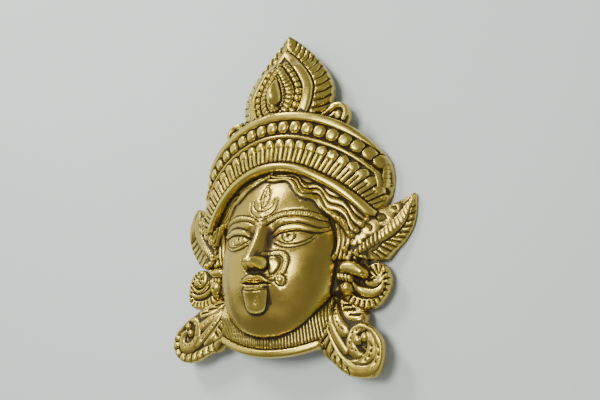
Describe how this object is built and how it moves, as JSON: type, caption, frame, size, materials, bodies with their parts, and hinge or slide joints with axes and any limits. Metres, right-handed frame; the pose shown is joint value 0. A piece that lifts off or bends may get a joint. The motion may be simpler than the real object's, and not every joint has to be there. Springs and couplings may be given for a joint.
{
  "type": "kali mask",
  "caption": "Hollow cast brass mask of a goddess's face with a beaded crown, pointed finial, leaf ears and scrolls, lying on its back.",
  "frame": {"origin": "middle of the bounding box in plan, on the plane that the mask lies on", "axes": "+Y towards the tip of the finial, +Z out of the face, +X to the right of someone who looks at the face"},
  "size_m": [0.1997, 0.2499, 0.0481],
  "materials": {
    "brass": "polished high spots over a dark brown patina in the carving"
  },
  "bodies": {
    "root": {"mask": "brass"}
  },
  "joints": []
}
